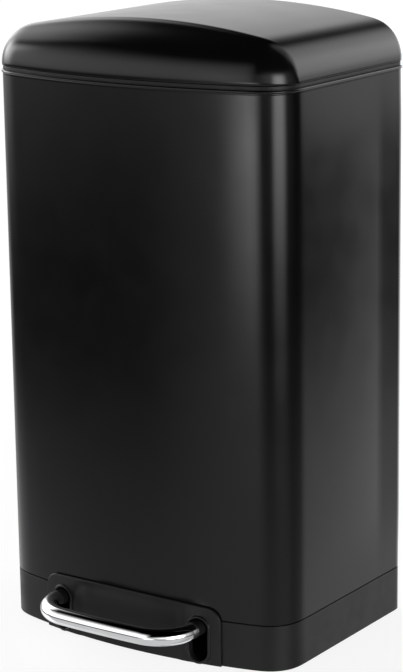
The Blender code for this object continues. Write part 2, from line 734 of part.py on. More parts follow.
def crease_point(x, z, up):
    """A point of the arch at the front crease."""
    tangent_y = front_edge(0)[0][1]
    return Vector((x, tangent_y - CREASE_SET_BACK * up, z))


def cap_point(start, end, up, side, t):
    """The front cap leaves the seam upright and meets the crease at an angle."""
    lean = CREASE_ANGLE * up
    run = (end - start).length * CAP_RUN
    outward = Vector((math.copysign(math.sqrt(max(0.0, 1 - up * up)), side), 0, up))
    arrive = Vector((0, math.cos(lean), 0)) + outward * math.sin(lean)
    rise = start + Vector((0, 0, (end.z - start.z) * CAP_RISE))
    fall = end - arrive * run
    u = 1 - t
    return start * u ** 3 + rise * (3 * u * u * t) + fall * (3 * u * t * t) + end * t ** 3


def lid_rows():
    """Rows from the front seam over the crease to the rear edge, and down the back."""
    arch = arch_points()
    seam = front_edge(-LID_PROUD)
    back = BACK_Y + LID_PROUD
    creases = [crease_point(x, z, up) for x, z, up in arch]
    starts = [Vector((x, y, LID_BOTTOM)) for x, y in seam]
    rows = [[cap_point(start, end, up, x, t) for start, end, (x, z, up) in zip(starts, creases, arch)]
            for t in steps(0, 1, CAP_STEPS)]
    rows.append([Vector((x, back, z)) for x, z, up in arch])
    rows.append([Vector((x, back, LID_BOTTOM)) for x, z, up in arch])
    return rows


def lid_skin():
    return solidify(loft("lid_skin", lid_rows(), BLACK_PAINT, around=False), SHEET)


def lid_liner():
    """An inner tray under the skin, with four screw bosses."""
    rows = [level(0.0055, LINER_TOP), level(0.0010, LID_BOTTOM + GAP)]
    liner = loft("lid_liner", list(reversed(rows)), GREY_PLASTIC)
    bm = bmesh.new()
    bm.from_mesh(liner.data)
    boundary = [edge for edge in bm.edges if edge.is_boundary]
    rim = [edge for edge in boundary if min(vert.co.z for vert in edge.verts) > LINER_TOP - 0.001]
    bmesh.ops.holes_fill(bm, edges=rim)
    bmesh.ops.recalc_face_normals(bm, faces=bm.faces)
    bm.to_mesh(liner.data)
    bm.free()
    solidify(liner, LINER_THICKNESS)
    for number, (x, y) in enumerate(BRACKET_SCREWS):
        join(liner, rod(f"boss_{number}", (x, y, LINER_TOP - 0.001), (x, y, BOSS_TOP), 0.004, sides=12))
        cut(liner, rod(f"boss_hole_{number}", (x, y, 0.570), (x, y, BOSS_TOP - 0.0015), SCREW_HOLE, sides=12))
    return cut(liner, box("liner_notch", *LINER_NOTCH))


def lid_bracket():
    """Hinge knuckle, a web that passes under the lid's rear edge, a screw plate and the crank."""
    top = LINER_TOP - LINER_THICKNESS - GAP
    profile = [(-0.0195, 0.0032), (-0.0080, 0.0032), (-0.0046, -0.0010), (-0.0020, 0.0), (-0.0030, 0.0038),
               (-0.0056, 0.0072), (-0.0160, 0.0072), (-0.0160, top - HINGE_Z), (-0.0620, top - HINGE_Z),
               (-0.0620, top - HINGE_Z - 0.003), (-0.0195, top - HINGE_Z - 0.003)]
    outline_yz = [(HINGE_Y + y, HINGE_Z + z) for y, z in profile]
    bracket = side_plate("lid_bracket", outline_yz, 0.0, 2 * BRACKET_HALF)
    join(bracket, rod("knuckle", (-0.026, HINGE_Y, HINGE_Z), (0.026, HINGE_Y, HINGE_Z), 0.005))
    pin_y, pin_z = pin_place()
    reach = Vector((pin_y - HINGE_Y, pin_z - HINGE_Z))
    across = Vector((-reach.y, reach.x)).normalized() * CRANK_HALF_WIDTH
    start = math.atan2(across.y, across.x)
    nose = [(pin_y + CRANK_HALF_WIDTH * math.cos(start + a), pin_z + CRANK_HALF_WIDTH * math.sin(start + a))
            for a in steps(0, -math.pi, 8)]
    turn_in = [(HINGE_Y - across.x, HINGE_Z - across.y), (HINGE_Y + across.x, HINGE_Z + across.y)]
    join(bracket, side_plate("crank", nose + turn_in, 0.0, 0.003))
    bore = PIN_RADIUS + GAP
    cut(bracket, rod("knuckle_bore", (-0.05, HINGE_Y, HINGE_Z), (0.05, HINGE_Y, HINGE_Z), bore, sides=12))
    cut(bracket, rod("crank_bore", (-0.01, pin_y, pin_z), (0.01, pin_y, pin_z), bore, sides=12))
    for number, (x, y) in enumerate(BRACKET_SCREWS):
        cut(bracket, rod(f"bracket_hole_{number}", (x, y, 0.565), (x, y, 0.580), SCREW_HOLE, sides=12))
        screw(f"bracket_screw_{number + 1}", (x, y, top - 0.003 - GAP), (0, 0, 1), SCREW_HEAD, 0.0095)
    return bracket


def crank_pin():
    pin_y, pin_z = pin_place()
    head, head_top, head_foot, end = 0.0032, 0.0037, 0.0018, -0.0115
    profile = [(0.0, head_top), (head, head_top), (head, head_foot), (PIN_RADIUS, head_foot),
               (PIN_RADIUS, end), (0.0, end)]
    pin = smooth(turned("crank_pin", profile, STEEL, 12))
    pin.rotation_euler = (0, math.pi / 2, 0)
    pin.location = (0, pin_y, pin_z)
    clip = smooth(tube_wall("crank_pin_clip", 0.0034, PIN_RADIUS + GAP, 0.001, STEEL, 12))
    clip.rotation_euler = (0, math.pi / 2, 0)
    clip.location = (-0.0099, pin_y, pin_z)


# --- bucket ----------------------------------------------------------------

def inner_bucket():
    """A tapered tub that hangs by its rim, which is narrower at the back to clear the rod."""
    rim_z = SHELF_TOP + GAP
    heights = (BUCKET_BOTTOM, BUCKET_BOTTOM + 0.004, rim_z, rim_z)
    insets = (BUCKET_FLOOR, BUCKET_FOOT, BUCKET_MOUTH, BUCKET_RIM)
    rows = [level(inset, z, back_inset) for (inset, back_inset), z in zip(insets, heights)]
    bucket = solidify(loft("inner_bucket", rows, GREY_PLASTIC, floor=True), LINER_THICKNESS)
    low, high = GRIP
    cut(bucket, box("grip_right", low, high))
    return cut(bucket, box("grip_left", (-high[0], *low[1:]), (-low[0], *high[1:])))


def build():
    pivot = Vector((0, pivot_y(), PIVOT_Z))
    body_shell()
    top_collar()
    base()
    pedal_surround()
    for name, (x, y) in FOOT_PLACES.items():
        foot(name, x, y)
    axle()
    for side, x in (("left", -POST_X), ("right", POST_X)):
        axle_clamp(side, x)
    rod_guides()
    lever_buffers()
    hinge_housing()
    pedal_bar(pivot)
    for side, x in SIDES:
        sleeve(side, x)
    pedal_lever(pivot)
    push_rod()
    rod_eye()
    lid_skin()
    lid_liner()
    lid_bracket()
    crank_pin()
    inner_bucket()


clear_scene()
PARTS = collection("pedal_trash_can")
CUTTERS = collection("cutters")
build()
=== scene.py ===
"""Looks of the pedal trash can: fine meshes, finishes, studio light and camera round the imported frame.

Everything is in metres, +Z up, front towards -Y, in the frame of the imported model.
"""
import math

import bmesh
import bpy
import numpy as np
from mathutils import Matrix, Vector


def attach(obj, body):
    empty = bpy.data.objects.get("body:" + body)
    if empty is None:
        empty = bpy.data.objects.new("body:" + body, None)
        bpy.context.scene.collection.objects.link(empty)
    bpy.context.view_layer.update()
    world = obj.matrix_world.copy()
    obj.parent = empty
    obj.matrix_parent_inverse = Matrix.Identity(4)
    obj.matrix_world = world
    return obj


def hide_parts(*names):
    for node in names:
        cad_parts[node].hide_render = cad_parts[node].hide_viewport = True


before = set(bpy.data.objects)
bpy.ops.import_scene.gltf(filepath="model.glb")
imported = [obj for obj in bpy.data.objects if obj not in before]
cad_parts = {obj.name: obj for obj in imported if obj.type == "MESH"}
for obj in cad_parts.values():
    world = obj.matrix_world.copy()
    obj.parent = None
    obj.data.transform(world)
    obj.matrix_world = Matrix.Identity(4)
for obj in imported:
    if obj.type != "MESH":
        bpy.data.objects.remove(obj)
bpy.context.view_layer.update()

# Body outline, seen from above: bowed front, flat sides and back.
HALF_WIDTH = 0.169
FRONT_Y = -0.104
BACK_Y = 0.141
SIDE_BULGE = 0.0007
SIDE_BULGE_Y = 0.010
SIDE_BULGE_HALF = 0.085
BOW_RADIUS = 0.563
CORNER_RADIUS = 0.036
REAR_RADIUS = 0.012

# Heights of the stack, from the floor up.
SKIRT_BOTTOM = 0.001
SKIRT_TOP = 0.0467
SPIGOT_TOP = 0.060
DECK_BOTTOM = 0.050
DECK_TOP = 0.0525
SHELL_BOTTOM = 0.0473
SHELL_TOP = 0.5597
COLLAR_BOTTOM = 0.530
COLLAR_TOP = 0.5636
SHELF_TOP = 0.5505
LID_BOTTOM = 0.5642
LID_TOP = 0.6158

GAP = 0.0003
SHEET = 0.0006
SKIRT_WALL = 0.0031
COLLAR_WALL = 0.005
ROLLED_EDGE = 0.0012
MOULDED_WALL = 0.0016

# Lid: an arch in the XZ plane, drawn back from a crease, with a bulged front cap.
LID_PROUD = 0.0005
SHOULDER_RADIUS = 0.040
CREASE_SET_BACK = 0.011
CREASE_ANGLE = math.radians(38)
CREASE_SOFTNESS = 0.0065
CAP_RISE = 0.66
CAP_RUN = 0.32
LID_REAR_ROUND_LOW = 0.0125
LID_REAR_ROUND_TOP = 0.006
LINER_TOP = 0.577

# Lifting mechanism.
HINGE_Y = 0.147
HINGE_Z = 0.556
PIVOT_Y = 0.026993
PIVOT_Z = 0.0237
ROD_X = -0.0065
ROD_Y = 0.135271
AXLE_RADIUS = 0.004
POST_X = 0.062
POST_HALF = 0.005
POST_REACH = 0.013

# Foot bar and its surround.
LEG_X = 0.0825
BAR_Z = 0.0376
BAR_RADIUS = 0.0087
BAR_WALL = 0.0015
BAR_LIP = 0.0005
BAR_FRONT_Y = -0.1484
BAR_BEND = 0.036
BAR_SAG = 0.003
BAR_END_Y = -0.1110
SLEEVE_RADIUS = 0.0076
SLEEVE_END_Y = -0.085
PLATE_HALF = 0.1055
PLATE_TOP = 0.0623
PLATE_SHOULDER = 0.0590
PLATE_LOW = 0.0008
PLATE_CORNER = 0.015
PLATE_THICKNESS = 0.003
PLATE_EDGE = 0.0009
DISH_DEPTH = 0.0012
DISH_HALF = 0.066
DISH_SHOULDER = 0.009
SLOT_HALF = 0.010
SLOT_LOW = 0.0035
SLOT_HIGH = 0.047
RIM = 0.0028
RIM_PROUD = 0.0015
SURROUND_SCREWS = (-0.050, 0.0, 0.050)
SCREW_Z = 0.030

HOUSING_SCREWS = (-0.034, 0.034)
HOUSING_SCREW_Z = 0.515
BOSS_X = (-0.016, 0.016)
BOSS_Y = (0.095, 0.118)
SCREW_HOLE = 0.0018
SHELL_HOLE = 0.0019
FOOT_PLACES = ((-0.152, -0.058), (0.152, -0.058), (-0.153, 0.125), (0.153, 0.125))

# Steps in the rounded stretches of the fine meshes.
BOW_STEPS = 72
CORNER_STEPS = 20
REAR_STEPS = 10
SIDE_STEPS = 24
ARCH_STEPS = 72
CAP_STEPS = 22
ROUND_SIDES = 48
FLAT_MARGIN = 0.0015

# How far round a point the outline is averaged where a corner meets a flatter stretch.
EASE = 0.009
EASE_SAMPLES = 19


# --- shape helpers ---------------------------------------------------------

def steps(first, last, count):
    return [first + (last - first) * i / count for i in range(count + 1)]


def arc(centre, radius, start, end, count):
    """Points of a circular arc in the plane, angles in radians."""
    return [(centre[0] + radius * math.cos(a), centre[1] + radius * math.sin(a))
            for a in steps(start, end, count)]


def rounded(corners, count=4):
    """Round the corners of a closed section; each corner is (u, v, radius)."""
    points = []
    for i, (u, v, radius) in enumerate(corners):
        here = Vector((u, v))
        before = Vector(corners[i - 1][:2]) - here
        after = Vector(corners[(i + 1) % len(corners)][:2]) - here
        if radius == 0:
            points.append((u, v))
            continue
        half = before.angle(after) / 2
        reach = radius / math.tan(half)
        first = here + before.normalized() * reach
        last = here + after.normalized() * reach
        centre = here + (before.normalized() + after.normalized()).normalized() * radius / math.sin(half)
        start = (first - centre).normalized()
        turn = start.angle_signed((last - centre).normalized())
        for k in range(count + 1):
            points.append(tuple(centre + Matrix.Rotation(-turn * k / count, 2) @ start * radius))
    return points


def front_edge(inset, bow_steps=BOW_STEPS, corner_steps=CORNER_STEPS):
    """Points of the bowed front from the left side to the right side, moved in by inset."""
    reach = math.asin((HALF_WIDTH - CORNER_RADIUS) / (BOW_RADIUS - CORNER_RADIUS))
    centre_x = HALF_WIDTH - CORNER_RADIUS
    bow_y_centre = FRONT_Y + BOW_RADIUS
    centre_y = bow_y_centre - (BOW_RADIUS - CORNER_RADIUS) * math.cos(reach)
    corner = CORNER_RADIUS - inset
    bow = BOW_RADIUS - inset
    left = [(-centre_x - corner * math.cos(a), centre_y - corner * math.sin(a))
            for a in steps(0, math.pi / 2 - reach, corner_steps)]
    middle = [(bow * math.sin(a), bow_y_centre - bow * math.cos(a)) for a in steps(-reach, reach, bow_steps)]
    right = [(-x, y) for x, y in reversed(left)]
    return left + middle[1:-1] + right


def eased(points, reach=EASE):
    """Soften the jumps of curvature along an open run of points; its ends stay where they are."""
    runs = [0.0]
    for before, after in zip(points, points[1:]):
        runs.append(runs[-1] + math.dist(before, after))
    first, second = zip(*points)
    smooth = []
    for run in runs:
        window = min(reach, run, runs[-1] - run)
        places = np.linspace(run - window, run + window, EASE_SAMPLES)
        smooth.append(tuple(float(np.interp(places, runs, values).mean()) for values in (first, second)))
    return smooth


def outline(inset, back_inset=None):
    """The body's outline moved in by inset, counter-clockwise from the front left."""
    back_inset = inset if back_inset is None else back_inset
    radius = max(REAR_RADIUS - inset, 0.003)
    centre_x = HALF_WIDTH - inset - radius
    centre_y = BACK_Y - back_inset - radius
    rear = arc((centre_x, centre_y), radius, 0, math.pi / 2, REAR_STEPS)
    front = front_edge(inset)
    side = HALF_WIDTH - inset
    tangent_y = front[0][1]
    flat = [(side, y) for y in steps(tangent_y, tangent_y + 2 * EASE, 10)[1:]]
    front = eased([(-x, y) for x, y in reversed(flat)] + front + flat)
    front_y = front[0][1]
    right = [(side, y) for y in steps(front_y + FLAT_MARGIN, centre_y - FLAT_MARGIN, SIDE_STEPS)] + rear
    right.append((centre_x - FLAT_MARGIN, rear[-1][1]))
    return front + right + [(-x, y) for x, y in reversed(right)]


def smoothstep(value, start, end):
    t = min(1.0, max(0.0, (value - start) / (end - start)))
    return t * t * (3 - 2 * t)


def bow_y(x, outset):
    """The front's Y at x, outset from the body."""
    radius = BOW_RADIUS + outset
    return FRONT_Y + BOW_RADIUS - math.sqrt(radius * radius - x * x)


def obround(half_width, low, high, x_middle, count=16):
    """Points of an upright slot with round ends."""
    top = arc((x_middle, high - half_width), half_width, 0, math.pi, count)
    bottom = arc((x_middle, low + half_width), half_width, math.pi, 2 * math.pi, count)
    return top + bottom


def loft(rows, ring=False, floor=False, ceiling=False, around=True):
    """Quads between rows of points.

    A ring closes on itself; a floor and a ceiling close the first and last rows.
    """
    bm = bmesh.new()
    grid = [[bm.verts.new(point) for point in row] for row in rows]
    pairs = list(zip(grid, grid[1:]))
    if ring:
        pairs.append((grid[-1], grid[0]))
    columns = len(grid[0])
    for low, high in pairs:
        for i in range(columns if around else columns - 1):
            j = (i + 1) % columns
            bm.faces.new((low[i], low[j], high[j], high[i]))
    if floor:
        bm.faces.new(list(reversed(grid[0])))
    if ceiling:
        bm.faces.new(grid[-1])
    bmesh.ops.remove_doubles(bm, verts=bm.verts, dist=0.000005)
    bmesh.ops.dissolve_degenerate(bm, edges=bm.edges, dist=0.000005)
    bmesh.ops.recalc_face_normals(bm, faces=bm.faces)
    return bm


def level(inset, z, back_inset=None):
    return [(x, y, z) for x, y in outline(inset, back_inset)]


def swept(section):
    """Sweep a closed section of (inset, z) points round the body's outline."""
    return loft([level(inset, z) for inset, z in section], ring=True)


def turned(profile, sides=ROUND_SIDES):
    """A solid of revolution about Z from (radius, height) points, closed on itself or on the axis."""
    rows = [[(radius * math.cos(a), radius * math.sin(a), height) for a in steps(0, 2 * math.pi, sides)[:-1]]
            for radius, height in profile]
    on_axis = profile[0][0] == 0.0
    return loft(rows, ring=not on_axis)


def box_mesh(low, high, edge=0.0, segments=4):
    """A box between two corners, its edges rounded."""
    bm = bmesh.new()
    bmesh.ops.create_cube(bm, size=1.0)
    size = Vector(high) - Vector(low)
    middle = (Vector(high) + Vector(low)) / 2
    place = Matrix.Translation(middle) @ Matrix.Diagonal((*size, 1.0))
    bmesh.ops.transform(bm, matrix=place, verts=bm.verts)
    if edge:
        bmesh.ops.bevel(bm, geom=bm.edges, offset=edge, segments=segments, profile=0.5, affect="EDGES")
    return bm


def rod_mesh(start, end, radius, sides=ROUND_SIDES):
    """A round bar from start to end."""
    axis = Vector(end) - Vector(start)
    turn = Vector((0, 0, 1)).rotation_difference(axis).to_matrix().to_4x4()
    bm = bmesh.new()
    bmesh.ops.create_cone(bm, cap_ends=True, segments=sides, radius1=radius, radius2=radius,
                          depth=axis.length)
    middle = (Vector(start) + Vector(end)) / 2
    bmesh.ops.transform(bm, matrix=Matrix.Translation(middle) @ turn, verts=bm.verts)
    return bm


def prism(points, low, high, place):
    """A straight-sided solid on a closed outline; place maps (u, v, depth) to a point."""
    rows = [[place(u, v, depth) for u, v in points] for depth in (low, high)]
    return loft(rows, floor=True, ceiling=True)


def upright(u, v, depth):
    return (u, depth, v)


def lying(u, v, depth):
    return (u, v, depth)


# --- finishes --------------------------------------------------------------

class Finish:
    """A Principled material whose colour, roughness and relief come from procedural textures."""

    def __init__(self, name, **uniform):
        self.material = bpy.data.materials.new(name)
        self.material.use_nodes = True
        self.tree = self.material.node_tree
        self.shader = self.tree.nodes["Principled BSDF"]
        self.place = self.node("ShaderNodeTexCoord").outputs["Object"]
        for socket, value in uniform.items():
            self.shader.inputs[socket.replace("_", " ")].default_value = value

    def node(self, kind, **settings):
        made = self.tree.nodes.new(kind)
        for key, value in settings.items():
            setattr(made, key, value)
        return made

    def wire(self, source, socket):
        self.tree.links.new(source, socket)

    def stretched(self, scale):
        """Object coordinates with each axis scaled."""
        mapping = self.node("ShaderNodeMapping")
        mapping.inputs["Scale"].default_value = scale
        self.wire(self.place, mapping.inputs["Vector"])
        return mapping.outputs["Vector"]

    def noise(self, scale, detail=3.0, rough=0.5, place=None):
        made = self.node("ShaderNodeTexNoise")
        made.inputs["Scale"].default_value = scale
        made.inputs["Detail"].default_value = detail
        made.inputs["Roughness"].default_value = rough
        self.wire(place or self.place, made.inputs["Vector"])
        return made.outputs["Fac"]

    def cells(self, scale):
        made = self.node("ShaderNodeTexVoronoi")
        made.inputs["Scale"].default_value = scale
        self.wire(self.place, made.inputs["Vector"])
        return made.outputs["Color"]

    def ranged(self, value, low, high, start=0.3, end=0.7):
        """Map the middle of a texture's values to low..high."""
        made = self.node("ShaderNodeMapRange", interpolation_type="SMOOTHSTEP")
        for socket, number in (("From Min", start), ("From Max", end), ("To Min", low), ("To Max", high)):
            made.inputs[socket].default_value = number
        self.wire(value, made.inputs["Value"])
        return made.outputs["Result"]

    def mixed(self, factor, first, second):
        """A colour between two, each a colour or an output."""
        made = self.node("ShaderNodeMix", data_type="RGBA")
        self.wire(factor, made.inputs["Factor"])
        for socket, colour in ((made.inputs[6], first), (made.inputs[7], second)):
            if isinstance(colour, tuple):
                socket.default_value = (*colour, 1.0)
            else:
                self.wire(colour, socket)
        return made.outputs[2]

    def colour(self, output):
        self.wire(output, self.shader.inputs["Base Color"])

    def roughness(self, output):
        self.wire(output, self.shader.inputs["Roughness"])

    def relief(self, *layers):
        """Each layer is a height output and its depth in metres."""
        normal = None
        for height, depth in layers:
            bump = self.node("ShaderNodeBump")
            bump.inputs["Strength"].default_value = 1.0
            bump.inputs["Distance"].default_value = depth
            self.wire(height, bump.inputs["Height"])
            if normal:
                self.wire(normal, bump.inputs["Normal"])
            normal = bump.outputs["Normal"]
        self.wire(normal, self.shader.inputs["Normal"])


def enamel():
    """Gloss black enamel on sheet steel: faint flow marks, fine orange peel and a little dust."""
    made = Finish("black_enamel", Specular_IOR_Level=0.25)
    cloud = made.noise(9.0, 2.0)
    dust = made.ranged(made.noise(1400.0, 1.0), 0.0, 1.0, 0.72, 0.80)
    tone = made.mixed(made.ranged(cloud, 0.0, 1.0), (0.0016, 0.0016, 0.0018), (0.0024, 0.0024, 0.0026))
    made.colour(made.mixed(dust, tone, (0.012, 0.012, 0.013)))
    made.roughness(made.ranged(made.noise(28.0, 3.0), 0.150, 0.172))
    made.relief((made.noise(800.0, 2.0), 0.0000017), (made.noise(30.0, 1.0), 0.0000012))
    return made.material


def moulded(name, dark, light, roughness, grain, specular=0.4):
    """Moulded plastic with a spark-eroded grain."""
    made = Finish(name, Specular_IOR_Level=specular)
    cloud = made.noise(22.0, 4.0)
    speck = made.noise(2600.0, 1.0)
    tone = made.mixed(made.ranged(cloud, 0.0, 1.0), dark, light)
    lifted = tuple(min(1.0, c * 1.5) for c in light)
    made.colour(made.mixed(made.ranged(speck, 0.0, 0.35, 0.5, 0.75), tone, lifted))
    made.roughness(made.ranged(made.noise(60.0, 3.0), roughness - 0.05, roughness + 0.05))
    made.relief((made.noise(1900.0, 2.0, 0.6), grain), (made.noise(45.0, 1.0), 0.00001))
    return made.material


def chrome():
    """Bright chromium plate with faint polishing marks along the bar."""
    made = Finish("bright_chrome", Metallic=1.0)
    cloud = made.noise(40.0, 2.0)
    made.colour(made.mixed(made.ranged(cloud, 0.0, 1.0), (0.74, 0.75, 0.76), (0.80, 0.81, 0.815)))
    marks = made.noise(60.0, 3.0, 0.6, made.stretched((1.0, 14.0, 30.0)))
    made.roughness(made.ranged(marks, 0.035, 0.085))
    made.relief((made.noise(90.0, 1.0), 0.000004))
    return made.material


def zinc():
    """Zinc-plated steel: small spangles under a dull film, with drawing marks."""
    made = Finish("zinc_plate", Metallic=1.0)
    spangle = made.cells(420.0)
    film = made.noise(140.0, 4.0)
    tone = made.mixed(made.ranged(film, 0.0, 1.0), (0.36, 0.365, 0.37), (0.52, 0.525, 0.53))
    made.colour(made.mixed(made.ranged(spangle, 0.0, 0.35, 0.2, 0.8), tone, (0.60, 0.60, 0.59)))
    made.roughness(made.ranged(made.noise(300.0, 3.0), 0.30, 0.46))
    made.relief((made.noise(900.0, 3.0, 0.6, made.stretched((1.0, 0.12, 1.0))), 0.000012))
    return made.material


def rubber():
    """Matt black rubber with a talc bloom."""
    made = Finish("matt_rubber", Specular_IOR_Level=0.3)
    bloom = made.noise(160.0, 5.0, 0.65)
    talc = made.ranged(bloom, 0.0, 1.0, 0.4, 0.8)
    made.colour(made.mixed(talc, (0.012, 0.012, 0.012), (0.035, 0.034, 0.033)))
    made.roughness(made.ranged(bloom, 0.78, 0.95))
    made.relief((made.noise(1500.0, 3.0), 0.00003))
    return made.material


FINISHES = {
    "black_paint": enamel(),
    "black_plastic": moulded("black_moulding", (0.006, 0.006, 0.0064), (0.009, 0.009, 0.0094),
                             roughness=0.40, grain=0.000012, specular=0.16),
    "grey_plastic": moulded("grey_moulding", (0.050, 0.050, 0.053), (0.066, 0.066, 0.069),
                            roughness=0.48, grain=0.000010),
    "chrome": chrome(),
    "zinc_steel": zinc(),
    "rubber": rubber(),
}


def finish_frame():
    """Give every CAD node the finish of its slot."""
    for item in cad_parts.values():
        for index, old in enumerate(item.data.materials):
            slot = old.name.split(".")[0]
            item.material_slots[index].link = "OBJECT"
            item.material_slots[index].material = FINISHES[slot]


# --- pieces ----------------------------------------------------------------

def raw(name, bm):
    data = bpy.data.meshes.new(name)
    bm.to_mesh(data)
    bm.free()
    item = bpy.data.objects.new(name, data)
    bpy.context.scene.collection.objects.link(item)
    return item


def worked(bm, *changes):
    """A mesh after (operation, tool mesh) booleans, in order."""
    item = raw("blank", bm)
    tools = []
    for operation, tool_mesh in changes:
        tool = raw("tool", tool_mesh)
        modifier = item.modifiers.new("step", "BOOLEAN")
        modifier.operation = operation
        modifier.object = tool
        tools.append(tool)
    graph = bpy.context.evaluated_depsgraph_get()
    data = bpy.data.meshes.new_from_object(item.evaluated_get(graph))
    result = bmesh.new()
    result.from_mesh(data)
    for old in [item] + tools:
        mesh = old.data
        bpy.data.objects.remove(old, do_unlink=True)
        bpy.data.meshes.remove(mesh)
    bpy.data.meshes.remove(data)
    bmesh.ops.remove_doubles(result, verts=result.verts, dist=0.000002)
    return result


def piece(name, bm, body, slot, *nodes, sharp=32, wall=0.0):
    """A finished mesh that rides on a body and stands for CAD nodes."""
    item = raw(name, bm)
    item.data.materials.append(FINISHES[slot])
    item.data.shade_smooth()
    item.data.set_sharp_from_angle(angle=math.radians(sharp))
    if wall:
        thickness = item.modifiers.new("thickness", "SOLIDIFY")
        thickness.thickness = wall
        thickness.offset = -1.0
    shading = item.modifiers.new("shading", "WEIGHTED_NORMAL")
    shading.keep_sharp = True
    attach(item, body)
    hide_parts(*nodes)


def side_bulge(y, share):
    """How far a side panel stands out at y, share of the way up the shell; below 0 near the rear corner.

    can_body() uses only its size, so the panel has a shallow crease SIDE_BULGE_HALF behind SIDE_BULGE_Y
    and stands out again from there to the rear corner.
    """
    across = 1 - ((y - SIDE_BULGE_Y) / SIDE_BULGE_HALF) ** 2
    upward = smoothstep(share, 0.0, 0.15) * (1 - smoothstep(share, 0.9, 1.0))
    ahead = smoothstep(y, SIDE_BULGE_Y - SIDE_BULGE_HALF - 0.010, SIDE_BULGE_Y - SIDE_BULGE_HALF + 0.010)
    return SIDE_BULGE * across * upward * ahead


def can_body():
    """Rolled steel shell with a round bead along its top edge."""
    bead = arc((ROLLED_EDGE * 0.35, SHELL_TOP - 0.0016), 0.0016, -math.pi * 0.5, math.pi * 0.5, 10)
    round_bead = [(ROLLED_EDGE * 0.7 - u, v) for u, v in bead]
    bottom, top = SHELL_BOTTOM + 0.0003, SHELL_TOP - 0.0047
    heights = steps(bottom + 0.0007, top, 24)
    section = [(0.0, bottom)] + [(0.0, z) for z in heights] + [(0.0, top + 0.0005), (-0.0001, top + 0.0010)]
    section += round_bead[1:]
    section += [(SHEET, SHELL_TOP - 0.0004)] + [(SHEET, z) for z in reversed(heights)] + [(SHEET, bottom)]
    notch = box_mesh((-0.030, 0.130, 0.527), (0.030, 0.150, 0.57))
    bead_notch = box_mesh((-0.0405, 0.130, 0.553), (0.0405, 0.150, 0.57))
    holes = [rod_mesh((x, 0.130, HOUSING_SCREW_Z), (x, 0.150, HOUSING_SCREW_Z), SHELL_HOLE)
             for x in HOUSING_SCREWS]
    shell = swept(section)
    for vert in shell.verts:
        bulge = side_bulge(vert.co.y, (vert.co.z - bottom) / (top - bottom))
        if abs(vert.co.x) > HALF_WIDTH - CORNER_RADIUS / 2:
            vert.co.x += math.copysign(bulge, vert.co.x)
    bm = worked(shell, *[("DIFFERENCE", tool) for tool in [notch, bead_notch] + holes])
    piece("can_body", bm, "body", "black_paint", "body_shell")


def rim_collar():
    """Moulded ring between the shell and the lid."""
    outer = SHEET + GAP
    shelf = 0.011
    low, edge = SHELL_TOP + 0.0006, 0.0004
    section = rounded([(0.0004, low, edge), (0.0004, COLLAR_TOP, 0.0007), (COLLAR_WALL, COLLAR_TOP, 0.0008),
                       (COLLAR_WALL, SHELF_TOP, 0.0008), (shelf, SHELF_TOP, 0.0008),
                       (shelf, SHELF_TOP - 0.0025, 0.0008),
                       (outer + 0.0023, SHELF_TOP - 0.0025, 0.001), (outer + 0.0023, COLLAR_BOTTOM, 0.0005),
                       (outer, COLLAR_BOTTOM, 0.0005), (outer, low, 0)])
    notch = box_mesh((-0.030, 0.120, 0.50), (0.030, 0.150, 0.60))
    bm = worked(swept(section), ("DIFFERENCE", notch))
    piece("rim_collar", bm, "body", "black_plastic", "top_collar")


def base_skirt():
    """Moulded base: skirt, spigot for the shell, deck, axle posts and pads for the feet."""
    spigot = SHEET + GAP
    seam, groove = SKIRT_TOP - 0.0004, SKIRT_WALL - 0.0006
    section = rounded([(0, SKIRT_BOTTOM, 0.0008), (0, seam, 0.0005), (groove, seam, 0),
                       (groove, SHELL_BOTTOM + 0.0004, 0), (spigot, SHELL_BOTTOM + 0.0008, 0),
                       (spigot, SPIGOT_TOP, 0.0004), (SKIRT_WALL, SPIGOT_TOP, 0.0004),
                       (SKIRT_WALL, SKIRT_BOTTOM, 0.0008)])
    deck = prism(outline(SKIRT_WALL - 0.0006), DECK_BOTTOM, DECK_TOP, lying)
    changes = [("UNION", deck)]
    for side in (-1, 1):
        low = (side * POST_X - POST_HALF, PIVOT_Y - POST_REACH, PIVOT_Z + GAP)
        high = (side * POST_X + POST_HALF, PIVOT_Y + POST_REACH, DECK_BOTTOM + 0.001)
        changes.append(("UNION", box_mesh(low, high)))
    for x, y in FOOT_PLACES:
        changes.append(("UNION", rod_mesh((x, y, 0.004), (x, y, 0.0065), 0.0145)))
        changes.append(("DIFFERENCE", rod_mesh((x, y, 0.002), (x, y, 0.009), 0.0033)))
    bore = rod_mesh((-0.075, PIVOT_Y, PIVOT_Z), (0.075, PIVOT_Y, PIVOT_Z), AXLE_RADIUS + GAP)
    changes.append(("DIFFERENCE", bore))
    for x in (-LEG_X, LEG_X):
        hole = obround(SLOT_HALF + 0.0005, SLOT_LOW - 0.0005, SLOT_HIGH + 0.0002, x)
        changes.append(("DIFFERENCE", prism(hole, -0.130, -0.085, upright)))
    for x in SURROUND_SCREWS:
        changes.append(("DIFFERENCE", rod_mesh((x, -0.120, SCREW_Z), (x, -0.090, SCREW_Z), SCREW_HOLE)))
    changes.append(("DIFFERENCE", rod_mesh((ROD_X, ROD_Y, 0.045), (ROD_X, ROD_Y, 0.055), 0.0026)))
    piece("base_skirt", worked(swept(section), *changes), "body", "black_plastic", "base")


